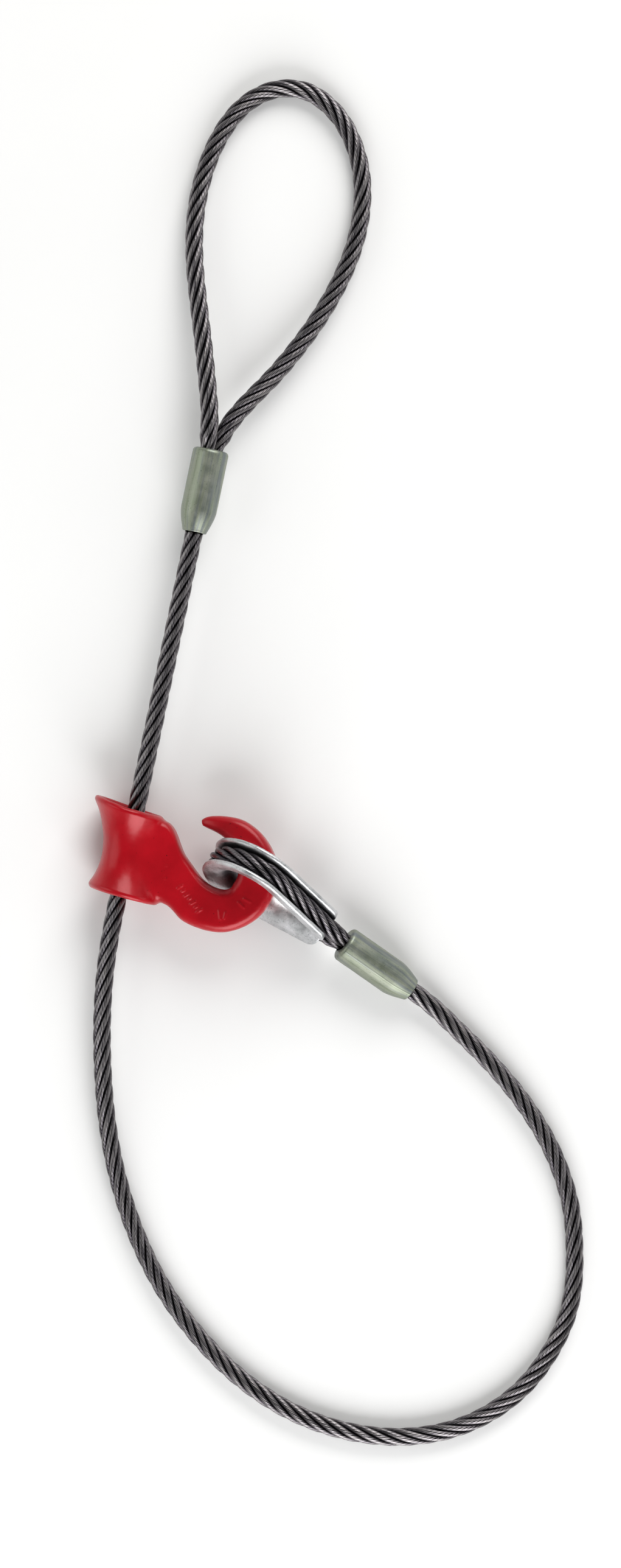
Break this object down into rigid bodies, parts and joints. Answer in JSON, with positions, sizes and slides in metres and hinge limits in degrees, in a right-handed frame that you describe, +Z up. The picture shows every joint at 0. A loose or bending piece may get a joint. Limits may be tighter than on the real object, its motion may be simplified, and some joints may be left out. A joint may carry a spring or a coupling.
{
  "type": "sliding choker sling",
  "caption": "Steel wire rope choker sling: a soft eye, a forged hook that slides on the rope, and a thimble eye hooked back into it to close the choke loop.",
  "frame": {"origin": "on the surface that the sling lies on, below the middle of its hook, sleeves and thimble", "axes": "+Z up from the surface, +Y towards the soft eye along the sling's length, +X to the side of the hook's bowl"},
  "size_m": [0.2594, 0.7172, 0.056],
  "materials": {
    "rope": "bright drawn steel wire, lightly oiled, dark between the strands",
    "sleeve": "zinc plated carbon steel, satin, faint greenish yellow tint, swaging marks",
    "thimble": "hot dip galvanized, dull light grey, mottled",
    "hook_paint": "gloss red enamel over a forging, slightly uneven"
  },
  "bodies": {
    "root": {"eye_rope": "rope", "eye_sleeve": "sleeve", "eye_splice": "rope", "standing_rope": "rope", "choke_loop_rope": "rope"},
    "hook": {"choker_hook": "hook_paint"},
    "thimble_end": {"thimble": "thimble", "thimble_rope": "rope", "thimble_sleeve": "sleeve", "thimble_splice": "rope", "choke_loop_end_rope": "rope"}
  },
  "joints": [
    {"name": "hook_slide", "type": "slide", "parent": "root", "child": "hook", "axis": [0.2045, 0.9789, 0], "range_m": [0, 0.14], "deforming": ["choke_loop_rope"]},
    {"name": "thimble_swing", "type": "hinge", "parent": "hook", "child": "thimble_end", "pos_m": [-0.01681, -0.07643, 0.02288], "axis": [0, 0, 1], "range_deg": [-18, 18], "deforming": ["choke_loop_end_rope"]}
  ]
}
